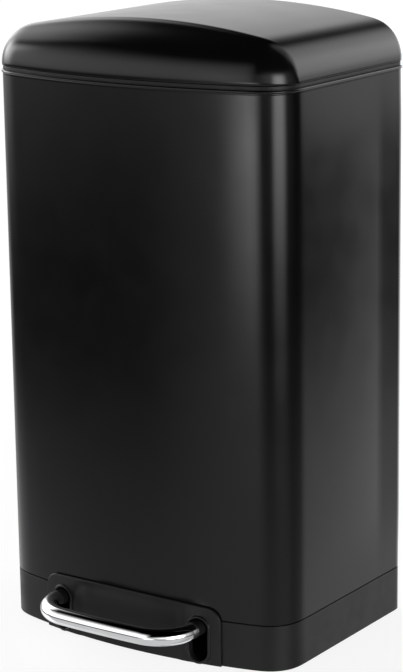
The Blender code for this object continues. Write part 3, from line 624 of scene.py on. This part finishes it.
def plate_outline():
    """The surround's front view: straight foot, round shoulders and a slightly arched top."""
    centre_x = PLATE_HALF - PLATE_CORNER
    centre_z = PLATE_SHOULDER - PLATE_CORNER
    right = arc((centre_x, centre_z), PLATE_CORNER, 0, math.pi / 2, 16)
    rise = PLATE_TOP - PLATE_SHOULDER
    top = [(x, PLATE_SHOULDER + rise * (1 - (x / centre_x) ** 2)) for x in steps(centre_x, -centre_x, 48)]
    left = [(-x, z) for x, z in reversed(right)]
    return [(PLATE_HALF, PLATE_LOW)] + right + top[1:-1] + left + [(-PLATE_HALF, PLATE_LOW)]


def dish(x, z):
    """How far the surround's face sinks between the slots."""
    across = 1 - smoothstep(abs(x), DISH_HALF - DISH_SHOULDER, DISH_HALF)
    down = 1 - smoothstep(z, PLATE_SHOULDER - 0.012, PLATE_SHOULDER + 0.001)
    return DISH_DEPTH * across * down


def surround_plate():
    """Plate round the two slots: soft edges and a shallow dish, bent to the bow."""
    data = bpy.data.curves.new("plate_face", "CURVE")
    data.dimensions = "2D"
    data.fill_mode = "BOTH"
    data.extrude = PLATE_THICKNESS / 2 - PLATE_EDGE
    data.bevel_depth = PLATE_EDGE
    data.bevel_resolution = 3
    data.offset = -PLATE_EDGE
    points = plate_outline()
    spline = data.splines.new("POLY")
    spline.points.add(len(points) - 1)
    for point, (x, z) in zip(spline.points, points):
        point.co = (x, z, 0.0, 1.0)
    spline.use_cyclic_u = True
    curve = bpy.data.objects.new("plate_face", data)
    bpy.context.scene.collection.objects.link(curve)
    graph = bpy.context.evaluated_depsgraph_get()
    flat = bpy.data.meshes.new_from_object(curve.evaluated_get(graph))
    bm = bmesh.new()
    bm.from_mesh(flat)
    bpy.data.objects.remove(curve, do_unlink=True)
    bmesh.ops.remove_doubles(bm, verts=bm.verts, dist=0.000005)
    bmesh.ops.dissolve_limit(bm, angle_limit=0.001, verts=bm.verts, edges=bm.edges)
    for x in steps(-PLATE_HALF, PLATE_HALF, 84)[1:-1]:
        geometry = bm.verts[:] + bm.edges[:] + bm.faces[:]
        bmesh.ops.bisect_plane(bm, geom=geometry, plane_co=(x, 0, 0), plane_no=(1, 0, 0))
    for z in steps(0, PLATE_TOP, 26)[1:-1]:
        geometry = bm.verts[:] + bm.edges[:] + bm.faces[:]
        bmesh.ops.bisect_plane(bm, geom=geometry, plane_co=(0, z, 0), plane_no=(0, 1, 0))
    for vert in bm.verts:
        x, z, depth = vert.co
        share = (depth + PLATE_THICKNESS / 2) / PLATE_THICKNESS
        outset = GAP + PLATE_THICKNESS * share - dish(x, z) * share
        vert.co = (x, bow_y(x, outset), z)
    bmesh.ops.recalc_face_normals(bm, faces=bm.faces)
    return bm


def slot_rim(x_middle):
    """Raised rim round a slot, with a round crown."""
    inner, outer, foot = 0.0, RIM, GAP
    crown = GAP + PLATE_THICKNESS + RIM_PROUD
    corners = [(inner, foot, 0.0003), (inner, crown, 0.0011), (outer, crown, 0.0012), (outer, foot, 0.0003)]
    section = rounded(corners, 6)
    rows = []
    for out, depth in section:
        half = SLOT_HALF + out
        top = arc((x_middle, SLOT_HIGH - SLOT_HALF), half, 0, math.pi, 24)
        bottom = arc((x_middle, SLOT_LOW + SLOT_HALF), half, math.pi, 2 * math.pi, 24)
        rows.append([(x, bow_y(x, depth), z) for x, z in top + bottom])
    return loft(rows, ring=True)


def pedal_surround():
    changes = []
    for x in (-LEG_X, LEG_X):
        hole = obround(SLOT_HALF + RIM / 2, SLOT_LOW - RIM / 2, SLOT_HIGH + RIM / 2, x)
        changes.append(("DIFFERENCE", prism(hole, -0.130, -0.080, upright)))
        changes.append(("UNION", slot_rim(x)))
    for x in SURROUND_SCREWS:
        front = bow_y(x, GAP + 0.0014)
        changes.append(("DIFFERENCE", rod_mesh((x, front, SCREW_Z), (x, -0.080, SCREW_Z), SCREW_HOLE)))
    piece("slot_surround", worked(surround_plate(), *changes), "body", "black_plastic", "pedal_surround")


def bar_path():
    """Centre line of the foot bar: straight legs, round bends and a slightly bowed front."""
    bow = LEG_X ** 2 / (2 * BAR_SAG)
    centre_x = LEG_X - BAR_BEND
    bow_centre = BAR_FRONT_Y + bow
    centre_y = bow_centre - math.sqrt((bow - BAR_BEND) ** 2 - centre_x ** 2)
    reach = math.asin(centre_x / (bow - BAR_BEND))
    bend = [(-centre_x - BAR_BEND * math.cos(a), centre_y - BAR_BEND * math.sin(a))
            for a in steps(0, math.pi / 2 - reach, 40)]
    front = [(bow * math.sin(a), bow_centre - bow * math.cos(a)) for a in steps(-reach, reach, 24)]
    half = [(-LEG_X, BAR_END_Y)] + bend
    return half + front[1:-1] + [(-x, y) for x, y in reversed(half)]


def foot_bar():
    """Bent chromed tube, open at both ends, with softened lips."""
    path = [Vector(p) for p in bar_path()]
    sides = []
    for i in range(len(path)):
        along = (path[min(i + 1, len(path) - 1)] - path[max(i - 1, 0)]).normalized()
        sides.append(Vector((along.y, -along.x)))
    stations = list(zip(path, sides))
    lip = Vector((0, BAR_LIP))
    mouth = BAR_RADIUS - BAR_LIP
    rings = [(path[0], sides[0], mouth), (path[0] - lip, sides[0], BAR_RADIUS)]
    rings += [(here, side, BAR_RADIUS) for here, side in stations[1:-1]]
    rings += [(path[-1] - lip, sides[-1], BAR_RADIUS), (path[-1], sides[-1], mouth)]
    rings += [(here, side, BAR_RADIUS - BAR_WALL) for here, side in reversed(stations)]
    rows = []
    for here, side, radius in rings:
        rows.append([(here.x + side.x * radius * math.cos(a), here.y + side.y * radius * math.cos(a),
                      BAR_Z + radius * math.sin(a)) for a in steps(0, 2 * math.pi, ROUND_SIDES)[:-1]])
    piece("foot_bar", loft(rows, ring=True), "pedal", "chrome", "pedal_bar")


def sleeves():
    """Dark end pieces of the foot bar: a spigot in the bar and a body that runs into the slot."""
    bore, step = 0.0048, 0.0004
    spigot = BAR_RADIUS - BAR_WALL - GAP
    start = BAR_END_Y + GAP
    section = rounded([(bore, BAR_END_Y - 0.0035, 0), (spigot, BAR_END_Y - 0.0035, step), (spigot, start, 0),
                       (SLEEVE_RADIUS, start, 0.0006), (SLEEVE_RADIUS, SLEEVE_END_Y, 0.0006),
                       (bore, SLEEVE_END_Y, 0)])
    for side, x in (("left", -LEG_X), ("right", LEG_X)):
        bm = turned([(r, -y) for r, y in section])
        place = Matrix.Translation((x, 0, BAR_Z)) @ Matrix.Rotation(math.pi / 2, 4, "X")
        bmesh.ops.transform(bm, matrix=place, verts=bm.verts)
        piece(f"bar_sleeve_{side}", bm, "pedal", "black_plastic", f"pedal_sleeve_{side}")


# --- lid -------------------------------------------------------------------

def arch_points():
    """The lid's arch, left to right: (x, z, sideways and upward parts of its outward normal)."""
    half = HALF_WIDTH + LID_PROUD
    across = half - SHOULDER_RADIUS
    rise = LID_TOP - LID_BOTTOM
    crown = (across ** 2 + rise ** 2 - SHOULDER_RADIUS ** 2) / (2 * (rise - SHOULDER_RADIUS))
    centre_z = LID_TOP - crown
    lean = math.atan2(across, LID_BOTTOM - centre_z)
    left = [(-across - SHOULDER_RADIUS * math.cos(a), LID_BOTTOM + SHOULDER_RADIUS * math.sin(a))
            for a in steps(0, math.pi / 2 - lean, CORNER_STEPS)]
    middle = [(crown * math.sin(a), centre_z + crown * math.cos(a)) for a in steps(-lean, lean, ARCH_STEPS)]
    spots = eased(left + middle[1:-1] + [(-x, z) for x, z in reversed(left)])
    arch = []
    for i, (x, z) in enumerate(spots):
        before, after = spots[max(i - 1, 0)], spots[min(i + 1, len(spots) - 1)]
        run = math.dist(before, after)
        arch.append((x, z, (before[1] - after[1]) / run, (after[0] - before[0]) / run))
    arch[0] = (*spots[0], -1.0, 0.0)
    arch[-1] = (*spots[-1], 1.0, 0.0)
    return arch


def lid_column(start, x, z, side, up):
    """One line of the lid, from the front seam over the crease to the rear edge and down the back."""
    tangent_y = front_edge(0)[0][1]
    end = Vector((x, tangent_y - CREASE_SET_BACK * up, z))
    outward = Vector((side, 0, up))
    lean = CREASE_ANGLE * up
    run = (end - start).length * CAP_RUN
    arrive = Vector((0, math.cos(lean), 0)) + outward * math.sin(lean)
    rise = start + Vector((0, 0, (end.z - start.z) * CAP_RISE))
    fall = end - arrive * run

    def cap(t):
        u = 1 - t
        return start * u ** 3 + rise * (3 * u * u * t) + fall * (3 * u * t * t) + end * t ** 3

    softness = min(CREASE_SOFTNESS, (end - start).length * 0.25)
    last = 1 - softness / max(3 * run, 0.001)
    points = [cap(t) for t in steps(0, last, CAP_STEPS)]
    before = points[-1]
    after = end + Vector((0, softness, 0))
    points += [before * (1 - t) ** 2 + end * (2 * t * (1 - t)) + after * t * t for t in steps(0, 1, 8)[1:]]
    turn = LID_REAR_ROUND_LOW + (LID_REAR_ROUND_TOP - LID_REAR_ROUND_LOW) * up
    back = BACK_Y + LID_PROUD
    points += [Vector((x, y, z)) for y in steps(after.y, back - turn, 8)[1:]]
    for a in steps(0, math.pi / 2, 10)[1:]:
        point = end - outward * (turn * (1 - math.cos(a)))
        point.y = back - turn + turn * math.sin(a)
        points.append(point)
    foot = points[-1].copy()
    points.append(Vector((foot.x, back, max(LID_BOTTOM, foot.z - 0.0008))))
    points.append(Vector((foot.x, back, LID_BOTTOM)))
    return points


def lid_shell():
    """Domed steel lid: bulged front cap, soft crease, arched roof and rounded rear edge."""
    arch = arch_points()
    seam = eased(front_edge(-LID_PROUD, ARCH_STEPS))
    columns = [lid_column(Vector((x, y, LID_BOTTOM)), *spot) for (x, y), spot in zip(seam, arch)]
    rows = [list(row) for row in zip(*columns)]
    piece("lid_shell", loft(rows, around=False), "lid", "black_paint", "lid_skin", sharp=50, wall=SHEET)


def lid_tray():
    """Moulded liner under the lid, with a raised field and screw bosses."""
    wall = MOULDED_WALL
    rise = 0.0012
    border = LINER_TOP
    profile = [(0.031, border + rise, 0.061), (0.030, border + rise, 0.060), (0.0275, border, 0.0575),
               (0.0075, border, None), (0.0062, border - 0.0004, None), (0.0055, border - 0.0016, None),
               (0.0012, LID_BOTTOM + GAP + 0.0004, None), (0.0014, LID_BOTTOM + GAP, None),
               (0.0022, LID_BOTTOM + GAP, None), (0.0026, LID_BOTTOM + GAP + 0.0004, None),
               (0.0068, border - wall - 0.0022, None), (0.0078, border - wall - 0.0006, None),
               (0.0092, border - wall, None), (0.0275, border - wall, 0.0575),
               (0.0300, border - wall + rise, 0.060), (0.031, border - wall + rise, 0.061)]
    bm = loft([level(inset, z, back) for inset, z, back in profile], floor=True, ceiling=True)
    changes = []
    for x in BOSS_X:
        for y in BOSS_Y:
            changes.append(("UNION", rod_mesh((x, y, LINER_TOP - 0.001), (x, y, 0.5845), 0.004)))
            changes.append(("DIFFERENCE", rod_mesh((x, y, 0.570), (x, y, 0.583), SCREW_HOLE)))
    changes.append(("DIFFERENCE", box_mesh((-0.0275, 0.125, 0.55), (0.0275, 0.150, 0.5750))))
    piece("lid_tray", worked(bm, *changes), "lid", "grey_plastic", "lid_liner")


def waste_bucket():
    """Lift-out bucket with a flat rim, narrower at the back, and cut-outs for the fingers."""
    rim = SHELF_TOP + GAP
    wall = MOULDED_WALL
    bottom = 0.0560
    profile = [(0.0300, bottom + wall, 0.0320), (0.0256, bottom + wall, 0.0276),
               (0.0240, bottom + wall + 0.0006, 0.0260),
               (0.0226, 0.0625, 0.0246), (0.0144, rim - 0.0040, 0.0194), (0.0141, rim - 0.0010, 0.0190),
               (0.0135, rim + 0.0010, 0.0184), (0.0122, rim + wall, 0.0174), (0.0062, rim + wall, 0.0150),
               (0.0057, rim + wall - 0.0004, 0.0146), (0.0056, rim + 0.0004, 0.0145), (0.0060, rim, 0.0149),
               (0.0118, rim, 0.0168), (0.0125, rim - 0.0008, 0.0175), (0.0128, rim - 0.0020, 0.0178),
               (0.0209, 0.0610, 0.0229), (0.0218, 0.0582, 0.0238),
               (0.0240, bottom, 0.0260), (0.0300, bottom, 0.0320)]
    bm = loft([level(inset, z, back) for inset, z, back in profile], floor=True, ceiling=True)
    changes = []
    for side in (-1, 1):
        low, high = sorted((side * 0.1585, side * 0.170))
        changes.append(("DIFFERENCE", box_mesh((low, -0.020, 0.54), (high, 0.060, 0.57), 0.002)))
    piece("waste_bucket", worked(bm, *changes), "bucket", "grey_plastic", "inner_bucket")


def hinge_cover():
    """Moulded housing on the back for the lid's hinge, with soft edges."""
    bm = box_mesh((-0.040, 0.1413, 0.505), (0.040, 0.1545, 0.560), 0.003, 5)
    changes = [("DIFFERENCE", box_mesh((-0.0268, 0.135, 0.528), (0.0268, 0.1524, 0.570))),
               ("DIFFERENCE", rod_mesh((-0.0392, HINGE_Y, HINGE_Z), (0.045, HINGE_Y, HINGE_Z), 0.0023))]
    for x in HOUSING_SCREWS:
        hole = rod_mesh((x, 0.135, HOUSING_SCREW_Z), (x, 0.1515, HOUSING_SCREW_Z), SCREW_HOLE)
        changes.append(("DIFFERENCE", hole))
    piece("hinge_cover", worked(bm, *changes), "body", "black_plastic", "hinge_housing")


# --- studio ----------------------------------------------------------------

CAMERA_PLACE = Vector((1.3094, -1.8455, 0.8539))
CAMERA_AIM = Vector((-0.5558, 0.7960, -0.2397))
CAMERA_ROLL = math.radians(-0.835)
LENS = 125.9
SENSOR = 36.0
FLOOR_HALF = 40.0

# Studio surfaces, as windows of brightness: azimuth rises over the first pair of angles and falls over
# the second, and so does elevation. Degrees; azimuth 0 is in front of the can, + to its right.
PANELS = {
    "left_softbox": ((-113, -86, -77, -67), (-13, 12, 17, 33), 8.0),
    "left_window": ((-144, -127, -98, -80), (-6, 12, 30, 54), 2.6),
    "left_wall_foot": ((-150, -130, -108, -86), (-18, -14, -4, 4), 0.55),
    "front_screen": ((-92, -58, -12, 8), (-13, 3, 14, 50), 1.8),
    "front_edge": ((-22, -10, -4, 4), (-9, -3, 5, 18), 0.6),
    "front_gap": ((0, 8, 40, 52), (-7, -2, 10, 18), 0.65),
    "narrow_strip": ((-12, -5, -4, 22), (-14, -8.4, -7.6, -4.6), 7.5),
    "strip_halo": ((-34, -8, 2, 36), (-24, -14, -9, -2), 0.55),
    "right_softbox": ((42, 64, 75, 98), (-12.8, -7.7, 7, 22), 8.5),
    "right_halo": ((8, 44, 90, 132), (-14, -2, 12, 28), 0.9),
    "rear_right_softbox": ((130, 150, 166, 190), (-7, 11, 15, 46), 3.2),
    "rear_right_haze": ((118, 146, 170, 194), (24, 40, 62, 84), 0.75),
    "rear_right_table": ((138, 146, 174, 192), (-10.3, -6.6, -5, 5), 1.3),
    "rear_wall": ((151, 158, 210, 238), (-19, -15.5, 12, 34), 1.0),
    "rear_glow": ((148, 157, 178, 200), (-22, -18, -13, -5), 1.4),
    "floor": ((-181, -180, 180, 181), (-91, -90, -19.5, -13.5), 0.46),
    "floor_front": ((-150, -130, 88, 112), (-91, -90, -19.5, -13.5), 0.24),
    "floor_right": ((134, 150, 190, 206), (-91, -90, -17, -12), 0.50),
    "floor_left": ((-126, -98, -76, -62), (-60, -40, -19, -14), 0.7),
}
SCREEN = 0.985


class Sky:
    """The studio as a world shader: brightness by direction."""

    def __init__(self):
        world = bpy.data.worlds.new("studio")
        world.use_nodes = True
        bpy.context.scene.world = world
        self.tree = world.node_tree
        self.tree.nodes.clear()
        self.direction = self.tree.nodes.new("ShaderNodeTexCoord").outputs["Generated"]

    def math(self, operation, *values):
        made = self.tree.nodes.new("ShaderNodeMath")
        made.operation = operation
        for socket, value in zip(made.inputs, values):
            if isinstance(value, (int, float)):
                socket.default_value = value
            else:
                self.tree.links.new(value, socket)
        return made.outputs[0]

    def ramp(self, value, start, end):
        made = self.tree.nodes.new("ShaderNodeMapRange")
        made.interpolation_type = "SMOOTHSTEP"
        made.inputs["From Min"].default_value = start
        made.inputs["From Max"].default_value = end
        self.tree.links.new(value, made.inputs["Value"])
        return made.outputs["Result"]

    def window(self, value, edges):
        """0 outside the outer edges and 1 between the inner ones."""
        rise = self.ramp(value, edges[0], edges[1])
        fall = self.ramp(value, edges[2], edges[3])
        return self.math("MULTIPLY", rise, self.math("SUBTRACT", 1.0, fall))

    def angles(self, middle):
        """Azimuth from the middle of a panel, and elevation, in degrees."""
        turned_to = self.tree.nodes.new("ShaderNodeVectorRotate")
        turned_to.rotation_type = "Z_AXIS"
        turned_to.inputs["Angle"].default_value = -math.radians(middle)
        self.tree.links.new(self.direction, turned_to.inputs["Vector"])
        split = self.tree.nodes.new("ShaderNodeSeparateXYZ")
        self.tree.links.new(turned_to.outputs["Vector"], split.inputs[0])
        forward = self.math("MULTIPLY", split.outputs["Y"], -1.0)
        azimuth = self.math("DEGREES", self.math("ARCTAN2", split.outputs["X"], forward))
        elevation = self.math("DEGREES", self.math("ARCSINE", split.outputs["Z"]))
        return azimuth, elevation


def studio_light():
    sky = Sky()
    total = 0.0
    for across, upward, bright in PANELS.values():
        middle = (across[1] + across[2]) / 2
        azimuth, elevation = sky.angles(middle)
        shape = sky.math("MULTIPLY", sky.window(azimuth, [edge - middle for edge in across]),
                         sky.window(elevation, upward))
        total = sky.math("ADD", total, sky.math("MULTIPLY", shape, bright))
    seen = sky.tree.nodes.new("ShaderNodeLightPath").outputs["Is Camera Ray"]
    shown = sky.math("ADD", sky.math("MULTIPLY", total, sky.math("SUBTRACT", 1.0, seen)),
                     sky.math("MULTIPLY", seen, SCREEN))
    back = sky.tree.nodes.new("ShaderNodeBackground")
    back.inputs["Color"].default_value = (1.0, 1.0, 1.0, 1.0)
    sky.tree.links.new(shown, back.inputs["Strength"])
    out = sky.tree.nodes.new("ShaderNodeOutputWorld")
    sky.tree.links.new(back.outputs["Background"], out.inputs["Surface"])


def studio_floor():
    """Pale sweep that glows a little, so that shadows on it stay faint."""
    bm = bmesh.new()
    bmesh.ops.create_grid(bm, x_segments=1, y_segments=1, size=FLOOR_HALF)
    floor = raw("studio_floor", bm)
    made = Finish("pale_floor", Emission_Color=(1.0, 1.0, 1.0, 1.0), Emission_Strength=0.855)
    cloud = made.ranged(made.noise(0.6, 2.0), 0.0, 1.0)
    made.colour(made.mixed(cloud, (0.16, 0.16, 0.16), (0.17, 0.17, 0.17)))
    made.shader.inputs["Roughness"].default_value = 0.9
    floor.data.materials.append(made.material)
    floor.visible_glossy = False
    floor.visible_diffuse = False
    floor.visible_shadow = False


def shade():
    """Dark patch on the floor inside the base's foot, where no light gets in."""
    bm = bmesh.new()
    bm.faces.new([bm.verts.new((x, y, 0.0002)) for x, y in outline(0.0015)])
    patch = raw("floor_shade", bm)
    made = Finish("shaded_floor", Roughness=1.0)
    cloud = made.ranged(made.noise(8.0, 2.0), 0.0, 1.0)
    made.colour(made.mixed(cloud, (0.010, 0.010, 0.010), (0.014, 0.014, 0.014)))
    patch.data.materials.append(made.material)


def camera():
    data = bpy.data.cameras.new("camera")
    data.sensor_fit = "VERTICAL"
    data.sensor_height = SENSOR
    data.lens = LENS
    data.clip_end = 200.0
    item = bpy.data.objects.new("camera", data)
    bpy.context.scene.collection.objects.link(item)
    forward = CAMERA_AIM.normalized()
    right = forward.cross(Vector((0, 0, 1))).normalized()
    up = right.cross(forward)
    turned_right = right * math.cos(CAMERA_ROLL) + up * math.sin(CAMERA_ROLL)
    turned_up = up * math.cos(CAMERA_ROLL) - right * math.sin(CAMERA_ROLL)
    axes = Matrix((turned_right, turned_up, -forward)).transposed()
    item.matrix_world = Matrix.Translation(CAMERA_PLACE) @ axes.to_4x4()
    bpy.context.scene.camera = item


finish_frame()
can_body()
rim_collar()
base_skirt()
pedal_surround()
foot_bar()
sleeves()
lid_shell()
lid_tray()
waste_bucket()
hinge_cover()
studio_light()
studio_floor()
shade()
camera()
bpy.context.scene.view_settings.view_transform = "Standard"
